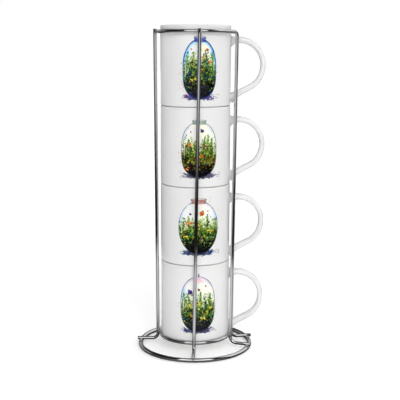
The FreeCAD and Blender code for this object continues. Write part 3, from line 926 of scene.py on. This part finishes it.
WHITE = (1.0, 1.0, 0.98)
NIGHT = (0.015, 0.02, 0.03)
MOSS = (0.13, 0.20, 0.06)
LEAF = (0.30, 0.47, 0.16)
FRESH = (0.50, 0.64, 0.22)
LIME = (0.76, 0.82, 0.42)
PINE = (0.09, 0.25, 0.17)
TEAL = (0.18, 0.42, 0.42)
OLIVE = (0.46, 0.45, 0.13)
EARTH = (0.27, 0.15, 0.09)
ORANGE = (0.90, 0.45, 0.16)
RED = (0.80, 0.24, 0.12)
WINE = (0.52, 0.07, 0.18)
YELLOW = (0.80, 0.77, 0.22)
VIOLET = (0.32, 0.27, 0.60)
PINK = (0.90, 0.70, 0.76)
SKY = (0.50, 0.80, 0.95)
CREAM = (0.97, 0.95, 0.82)
NAVY = (0.07, 0.08, 0.30)
MAROON = (0.34, 0.09, 0.07)
GOLD = (0.76, 0.64, 0.16)
MIST = (0.76, 0.82, 0.95)

# One jar for each mug from the bottom up. Lengths in millimetres, heights above the shoulder.
PLAIN_JAR = dict(
    low_power=3.0, high_power=2.5, middle=44.0, knob=False, neck_cover=0.8,
    blades=40, haze=(FRESH, LIME), air_strength=0.7, soil_colour=(0.18, 0.22, 0.10),
    specks=24, speck_side=1, speck_level=40, speck_colours=(ORANGE, GOLD, NAVY),
    thicket=(LEAF, MOSS, NIGHT, FRESH, OLIVE, PINE, MOSS, NIGHT, EARTH),
    undergrowth=(NIGHT, MOSS, FRESH, OLIVE, NIGHT, TEAL, GOLD, NIGHT, EARTH),
    glow_wide=3.0, glow_strength=0.75, line=0.40, line_strength=0.9,
)


def jar_like(**own):
    """The plain jar with its own values where they are given."""
    return SimpleNamespace(**(PLAIN_JAR | own))


DOME_JAR = jar_like(
    seed=11, wide=20.6, low=12.0, high=78.0, soil=28.0, plants=54.0, tint=(0.14, 0.40, 0.24),
    splash=19.5, splash_colour=((0.05, 0.06, 0.24), (0.34, 0.42, 0.62)), base_tint=(0.05, 0.06, 0.28),
    air=(SKY, CREAM, PINK), blooms=(YELLOW, GOLD, OLIVE, YELLOW),
    wings=(WINE, VIOLET), butterflies=(9.0, 4.4, 2.6),
    rim=(0.30, 0.22, 0.40), rim_left=(0.20, 0.24, 0.46), glow=(0.82, 0.80, 0.94),
    knob=True, neck=((0.26, 0.14, 0.28), (0.50, 0.38, 0.54)),
)
EGG_JAR = jar_like(
    seed=23, wide=23.9, low=13.8, high=75.5, low_power=1.85, high_power=2.0,
    soil=30.0, plants=53.0, blades=48, tint=(0.12, 0.44, 0.30), speck_level=66,
    splash=22.5, splash_colour=((0.04, 0.14, 0.32), (0.34, 0.50, 0.62)), base_tint=(0.03, 0.05, 0.14),
    air=(MIST, MIST, (0.94, 0.84, 0.82)), blooms=(GOLD, YELLOW, OLIVE, ORANGE),
    wings=(ORANGE, VIOLET, RED), butterflies=(9.0, 5.5, 4.0, 2.4),
    rim=(0.26, 0.33, 0.50), rim_left=(0.26, 0.36, 0.54), glow=MIST,
    neck=((0.48, 0.22, 0.18), (0.80, 0.62, 0.58)), neck_low=73.0, neck_high=77.2, neck_wide=8.8,
)
WIDE_JAR = jar_like(
    seed=37, wide=20.7, low=12.0, middle=42.0, high=74.6, soil=26.0, plants=55.0, blades=34,
    tint=(0.34, 0.40, 0.12), haze=((0.62, 0.70, 0.32), (0.84, 0.84, 0.56)),
    speck_side=-1, speck_level=24, soil_colour=(0.28, 0.22, 0.09),
    splash=21.5, splash_colour=((0.06, 0.06, 0.24), (0.44, 0.42, 0.52)), base_tint=(0.05, 0.05, 0.18),
    thicket=(LEAF, MOSS, NIGHT, FRESH, OLIVE, MAROON, MOSS, EARTH, LEAF, NIGHT),
    undergrowth=(NIGHT, MOSS, FRESH, OLIVE, EARTH, MAROON, NIGHT, GOLD, EARTH),
    air=(MIST, (0.90, 0.93, 0.84), CREAM), blooms=(RED, ORANGE, MAROON, YELLOW, GOLD),
    wings=(RED, VIOLET), butterflies=(6.0, 2.6), line=0.36,
    rim=(0.26, 0.32, 0.40), rim_left=(0.24, 0.30, 0.44), glow=(0.84, 0.89, 0.93),
    neck=((0.18, 0.32, 0.25), (0.74, 0.84, 0.78)), neck_cover=0.55,
    neck_low=72.2, neck_high=75.4, neck_wide=7.8,
)
TALL_JAR = jar_like(
    seed=53, wide=19.2, low=9.5, middle=40.0, high=74.4, low_power=3.2, soil=29.0, plants=56.0,
    blades=36, tint=(0.10, 0.38, 0.30), haze=((0.46, 0.66, 0.38), LIME),
    specks=70, speck_side=-1, speck_level=24,
    speck_colours=(ORANGE, (0.90, 0.60, 0.44), (0.80, 0.42, 0.40), MAROON, GOLD),
    splash=20.0, splash_colour=((0.13, 0.08, 0.42), (0.42, 0.24, 0.60)), base_tint=(0.13, 0.10, 0.42),
    thicket=(LEAF, PINE, NIGHT, FRESH, OLIVE, PINE, TEAL, MOSS, NIGHT, EARTH),
    undergrowth=(NIGHT, MOSS, FRESH, OLIVE, PINE, NIGHT, NAVY, NIGHT, GOLD),
    air=(SKY, SKY, (0.70, 0.86, 0.96)), air_strength=0.95, blooms=(ORANGE, GOLD, YELLOW, NAVY),
    wings=(ORANGE, RED), butterflies=(7.0, 5.0, 2.6),
    rim=(0.05, 0.22, 0.52), rim_left=(0.08, 0.24, 0.54), glow=(0.44, 0.78, 0.96),
    glow_wide=4.2, glow_strength=1.0, line=0.62, line_strength=1.0,
    neck=((0.12, 0.14, 0.48), (0.48, 0.60, 0.84)), neck_cover=0.92,
    neck_low=72.0, neck_high=76.4, neck_wide=6.6,
)
PRINT_TURN = radians(-85)  # from the handle's direction to the picture's middle
PRINT_LIFT = 0.06 * MM  # the fired colour stands this far proud of the glaze


def linear(colour):
    """sRGB to the linear light that a colour attribute holds."""
    return np.where(colour <= 0.04045, colour / 12.92, ((colour + 0.055) / 1.055) ** 2.4)


def print_piece(mug, jar):
    """The picture wrapped round a mug as a thin sheet of fired colour."""
    art, colour = paint_picture(jar)
    radius = MUG_RADIUS + PRINT_LIFT
    angle = mug_yaw(mug) + PRINT_TURN + art.u * MM / MUG_RADIUS
    level = mug_level(mug) + FOOT_TALL + art.v * MM
    points = np.stack([radius * np.cos(angle), radius * np.sin(angle), level], axis=-1).reshape(-1, 3)
    corner = np.arange(angle.size).reshape(angle.shape)
    faces = np.stack([corner[:-1, :-1], corner[:-1, 1:], corner[1:, 1:], corner[1:, :-1]], axis=-1)
    piece = new_piece(mug + "_print", points.tolist(), faces.reshape(-1, 4).tolist(), mug, "mug_print")
    attribute = piece.data.color_attributes.new("ink", "FLOAT_COLOR", "POINT")
    values = np.concatenate([linear(colour), art.ink[..., None]], axis=-1)
    attribute.data.foreach_set("color", values.astype(np.float32).ravel())
    return piece


prints = [print_piece(mug, jar) for mug, jar in zip(MUGS, (DOME_JAR, EGG_JAR, WIDE_JAR, TALL_JAR))]

# --- Materials ---

class Tree:
    """A node tree, with short ways to add and link its nodes."""

    def __init__(self, tree):
        self.tree = tree

    def give(self, socket, value):
        """Sets a socket, or links it to an output."""
        if isinstance(value, bpy.types.NodeSocket):
            self.tree.links.new(value, socket)
        else:
            socket.default_value = value

    def outputs(self, kind, inputs, **settings):
        """The outputs of a new node, whose inputs are given by name or by number."""
        node = self.tree.nodes.new("ShaderNode" + kind)
        for name, value in settings.items():
            setattr(node, name, value)
        for name, value in inputs.items():
            self.give(node.inputs[name], value)
        return node.outputs

    def spread(self, value, from_low, from_high, to_low, to_high, kind="LINEAR"):
        """A value stretched from one range to another, and kept inside it."""
        inputs = dict(enumerate((value, from_low, from_high, to_low, to_high)))
        return self.outputs("MapRange", inputs, interpolation_type=kind)["Result"]

    def maths(self, operation, first, second=0.0):
        return self.outputs("Math", {0: first, 1: second}, operation=operation)["Value"]

    def times(self, first, second):
        return self.maths("MULTIPLY", first, second)


class Nodes(Tree):
    """The node tree of a new material."""

    def __init__(self, name):
        self.material = bpy.data.materials.new(name)
        self.material.use_nodes = True
        super().__init__(self.material.node_tree)
        self.shader = self.tree.nodes["Principled BSDF"]
        self.place = self.outputs("TexCoord", {})["Object"]

    def set(self, socket, value):
        self.give(self.shader.inputs[socket], value)

    def noise(self, scale, detail):
        """Smooth noise; scale is the number of lumps in a metre."""
        return self.outputs("TexNoise", {"Vector": self.place, "Scale": scale, "Detail": detail})["Fac"]

    def attribute(self, name):
        return self.outputs("Attribute", {}, attribute_name=name)["Fac"]

    def blend(self, share, first, second):
        """A colour between two, each a colour or an output."""
        first, second = ((*c, 1.0) if isinstance(c, tuple) else c for c in (first, second))
        return self.outputs("Mix", {"Factor": share, 6: first, 7: second}, data_type="RGBA")[2]

    def bump(self, height, distance, strength, **under):
        inputs = {"Distance": distance, "Strength": strength, "Height": height, **under}
        return self.outputs("Bump", inputs)["Normal"]


WELD_DULLS = 0.45  # share of the plate's brightness lost to heat haze beside a weld


def chrome(name, pitting):
    """Bright chrome plate on drawn steel wire: a faint haze, fine draw marks, duller at the welds."""
    nodes = Nodes(name)
    haze = nodes.noise(90, 3)
    near = nodes.attribute("near_weld")
    clean = nodes.blend(haze, (0.58, 0.59, 0.62), (0.68, 0.68, 0.69))
    nodes.set("Base Color", nodes.blend(nodes.times(near, WELD_DULLS), clean, (0.40, 0.39, 0.38)))
    nodes.set("Metallic", 1.0)
    polish = nodes.spread(haze, 0.3, 0.7, 0.03, 0.07)
    nodes.set("Roughness", nodes.maths("ADD", polish, nodes.times(near, 0.14)))
    wavy = nodes.bump(nodes.noise(220, 1), 0.04 * MM, 0.5)
    nodes.set("Normal", nodes.bump(nodes.noise(1500, 2), 0.008 * MM, pitting, Normal=wavy))
    return nodes.material


GLAZE_SPECULAR = 0.9  # a lead-bright glaze mirrors more than glass does
PAINTED_SHADE_COLOUR = (0.36, 0.37, 0.39)  # painted shade, in the seam's groove and where a handle meets the wall


def glaze_colour(nodes):
    """White glaze with very slight clouds and a few pin-prick iron specks."""
    clouds = nodes.blend(nodes.noise(38, 3), (0.765, 0.77, 0.765), (0.815, 0.815, 0.81))
    specks = nodes.outputs("TexVoronoi", {"Scale": 75, "Vector": nodes.place}, feature="F1")
    speck = nodes.spread(specks["Distance"], 0.012, 0.03, 0.35, 0.0)
    return nodes.blend(speck, clouds, (0.62, 0.58, 0.52))


def glaze_gloss(nodes):
    return nodes.spread(nodes.noise(60, 2), 0.3, 0.7, 0.07, 0.14)


def glaze_ripple(nodes):
    """Smooth fired gloss with the slight waviness of poured glaze."""
    ripple = nodes.bump(nodes.noise(45, 1), 0.12 * MM, 0.35)
    return nodes.bump(nodes.noise(420, 2), 0.012 * MM, 0.5, Normal=ripple)


def glaze(name):
    """Glazed stoneware, with bare clay under the foot and painted shade in the seam's groove and at the
    handle roots.
    """
    nodes = Nodes(name)
    bare = nodes.attribute("bare")
    clay = nodes.blend(nodes.noise(900, 4), (0.62, 0.56, 0.48), (0.80, 0.76, 0.69))
    # Painted shade: the glaze colour is darkened in the seam's groove and at the handle roots.
    painted_shade = nodes.spread(nodes.attribute("painted_shade"), 0.25, 1.0, 0.0, 0.85)
    glazed = nodes.blend(painted_shade, glaze_colour(nodes), PAINTED_SHADE_COLOUR)
    nodes.set("Base Color", nodes.blend(bare, glazed, clay))
    nodes.set("Specular IOR Level", GLAZE_SPECULAR)
    nodes.set("Normal", glaze_ripple(nodes))
    nodes.set("Roughness", nodes.maths("MAXIMUM", glaze_gloss(nodes), nodes.times(bare, 0.8)))
    return nodes.material


def printed_glaze(name):
    """The same glaze where there is no ink; the fired colours are a touch less glossy."""
    nodes = Nodes(name)
    ink = nodes.outputs("VertexColor", {}, layer_name="ink")
    cover = ink["Alpha"]
    nodes.set("Base Color", nodes.blend(cover, glaze_colour(nodes), ink["Color"]))
    nodes.set("Roughness", nodes.maths("ADD", glaze_gloss(nodes), nodes.times(cover, 0.08)))
    nodes.set("Specular IOR Level", nodes.spread(cover, 0, 1, GLAZE_SPECULAR, 0.2))
    nodes.set("Normal", nodes.bump(cover, 0.01 * MM, 0.4, Normal=glaze_ripple(nodes)))
    return nodes.material


PAPER_GLOW = 0.25  # lifts the shadows, as the light through a lit paper table does


def paper(name):
    """Seamless white studio paper."""
    nodes = Nodes(name)
    nodes.set("Base Color", nodes.blend(nodes.noise(700, 3), (0.91, 0.91, 0.91), (0.94, 0.94, 0.94)))
    nodes.set("Roughness", 0.9)
    nodes.set("Specular IOR Level", 0.1)
    nodes.set("Emission Color", (1.0, 1.0, 1.0, 1.0))
    nodes.set("Emission Strength", PAPER_GLOW)
    return nodes.material


for pieces, material in (
    (wire_pieces, chrome("chrome_wire", pitting=0.35)),
    (weld_pieces, chrome("chrome_over_weld", pitting=1.0)),
    (shells + grips, glaze("white_glaze")),
    (prints, printed_glaze("fired_print")),
):
    for piece in pieces:
        piece.data.materials.append(material)

# --- Studio: white floor, soft lamps, what only reflections see, and the camera ---

FLOOR_HALF = 12.0


def stage_plane(name, level, material):
    """A level square round the origin."""
    mesh = bpy.data.meshes.new(name)
    corners = [(-1, -1), (1, -1), (1, 1), (-1, 1)]
    mesh.from_pydata([(x * FLOOR_HALF, y * FLOOR_HALF, level) for x, y in corners], [], [(0, 1, 2, 3)])
    mesh.materials.append(material)
    plane = new_object(name, mesh)
    return plane


def sun(name, azimuth, height, strength, soft):
    """A far soft lamp. Azimuth is from the viewer's side, towards +X; all angles in degrees."""
    lamp = bpy.data.lights.new(name, "SUN")
    lamp.energy = strength
    lamp.angle = radians(soft)
    place = new_object(name, lamp)
    turn, up = radians(azimuth), radians(height)
    towards_lamp = Vector((sin(turn) * cos(up), -cos(turn) * cos(up), sin(up)))
    place.rotation_mode = "QUATERNION"
    place.rotation_quaternion = towards_lamp.to_track_quat("Z", "Y")
    place.visible_glossy = False


# What the bright wire sees of the table and the room's floor: distance from the middle, brightness
FLOOR_IN_REFLECTIONS = (
    (0.07, 0.10), (0.13, 0.9), (0.42, 0.9), (0.55, 0.03), (1.0, 0.03), (1.7, 0.25), (3.2, 0.6), (7.0, 0.75),
)


def reflected_floor():
    """A card on the floor that only reflections see: a lit table top in a dim room."""
    nodes = Nodes("reflected_floor")
    distance = nodes.outputs("VectorMath", {0: nodes.place}, operation="LENGTH")["Value"]
    light = FLOOR_IN_REFLECTIONS[0][1]
    for (near, before), (far, after) in zip(FLOOR_IN_REFLECTIONS, FLOOR_IN_REFLECTIONS[1:]):
        light = nodes.maths("ADD", nodes.spread(distance, near, far, 0.0, after - before), light)
    across = nodes.outputs("SeparateXYZ", {0: nodes.place})["X"]
    sideways = nodes.maths("DIVIDE", nodes.maths("ABSOLUTE", across), distance)
    dim = nodes.spread(sideways, 0.45, 0.75, 1.0, 0.15)
    kept = nodes.spread(distance, 0.4, 0.6, 0.45, 0.0)
    light = nodes.times(light, nodes.maths("MAXIMUM", dim, kept))
    cloudy = nodes.spread(nodes.noise(3, 2), 0.3, 0.7, 0.9, 1.1)
    nodes.set("Base Color", (0.0, 0.0, 0.0, 1.0))
    nodes.set("Specular IOR Level", 0.0)
    nodes.set("Emission Color", nodes.times(light, cloudy))
    nodes.set("Emission Strength", 1.0)
    card = stage_plane("reflected_floor", 0.1 * MM, nodes.material)
    card.visible_camera = False
    card.visible_shadow = False
    card.visible_diffuse = False


class Surroundings(Tree):
    """The world: plain white to the camera, and patches of studio for everything else."""

    def __init__(self, base):
        world = bpy.data.worlds.new("studio")
        bpy.context.scene.world = world
        world.use_nodes = True
        super().__init__(world.node_tree)
        axes = self.outputs("SeparateXYZ", {0: self.outputs("TexCoord", {})["Generated"]})
        self.height = axes["Z"]
        self.azimuth = self.maths("ARCTAN2", axes["X"], self.times(axes["Y"], -1.0))
        self.light = base

    def ramp(self, value, middle, soft, rising):
        """From 0 to 1, or back, over a little more and less than a height in degrees."""
        low, high = (sin(radians(middle + side * soft)) for side in (-1, 1))
        return self.spread(value, low, high, 1.0 - rising, float(rising), "SMOOTHSTEP")

    def patch(self, middle, half, soft, low, high, brightness):
        """Sets a brightness in a window: azimuth from the viewer's side and height, in degrees."""
        off = self.maths("ABSOLUTE", self.maths("SUBTRACT", self.azimuth, radians(middle)))
        across = self.spread(off, radians(half), radians(half + soft), 1.0, 0.0, "SMOOTHSTEP")
        above = self.ramp(self.height, low, 3, True)
        below = self.ramp(self.height, high, 4, False)
        share = self.times(across, self.times(above, below))
        change = self.times(share, self.maths("SUBTRACT", brightness, self.light))
        self.light = self.maths("ADD", self.light, change)

    def done(self):
        seen = self.outputs("LightPath", {})["Is Camera Ray"]
        unseen = self.maths("SUBTRACT", 1.0, seen)
        background = self.tree.nodes["Background"]
        self.give(background.inputs["Color"], (1, 1, 1, 1))
        total = self.maths("ADD", self.times(self.light, unseen), seen)
        self.give(background.inputs["Strength"], total)


stage_plane("floor", 0.0, paper("studio_paper"))
reflected_floor()

sun("key", 12, 30, 0.60, 40)
sun("overhead", 0, 72, 1.0, 110)
sun("back", 205, 35, 0.45, 60)

studio = Surroundings(base=0.02)
studio.patch(180, 75, 12, -20, 24, 0.40)  # the paper sweep behind and beside the object
studio.patch(-180, 75, 12, -20, 24, 0.40)
studio.patch(0, 28, 12, -20, 9, 0.75)  # the far wall behind the viewer
studio.patch(2, 34, 6, 24, 52, 2.4)  # the softbox above the viewer
studio.patch(118, 42, 6, 5, 60, 0.95)  # a wide, weaker one on the right
studio.done()

# The camera stands at the height of the top mug's rim and looks slightly down.
SENSOR = 36.0  # millimetres, as the lens
LENS = 78.48
EYE_BACK = 1.0053
EYE_HIGH = 0.3523
PITCH_DOWN = radians(9.98)
YAW = -0.0049
ROLL = -0.0033

camera_data = bpy.data.cameras.new("camera")
camera_data.sensor_width = SENSOR
camera_data.lens = LENS
camera = new_object("camera", camera_data)
camera.location = (0.0, -EYE_BACK, EYE_HIGH)
camera.rotation_euler = (pi / 2 - PITCH_DOWN, ROLL, YAW)
bpy.context.scene.camera = camera
bpy.context.scene.view_settings.view_transform = "Standard"
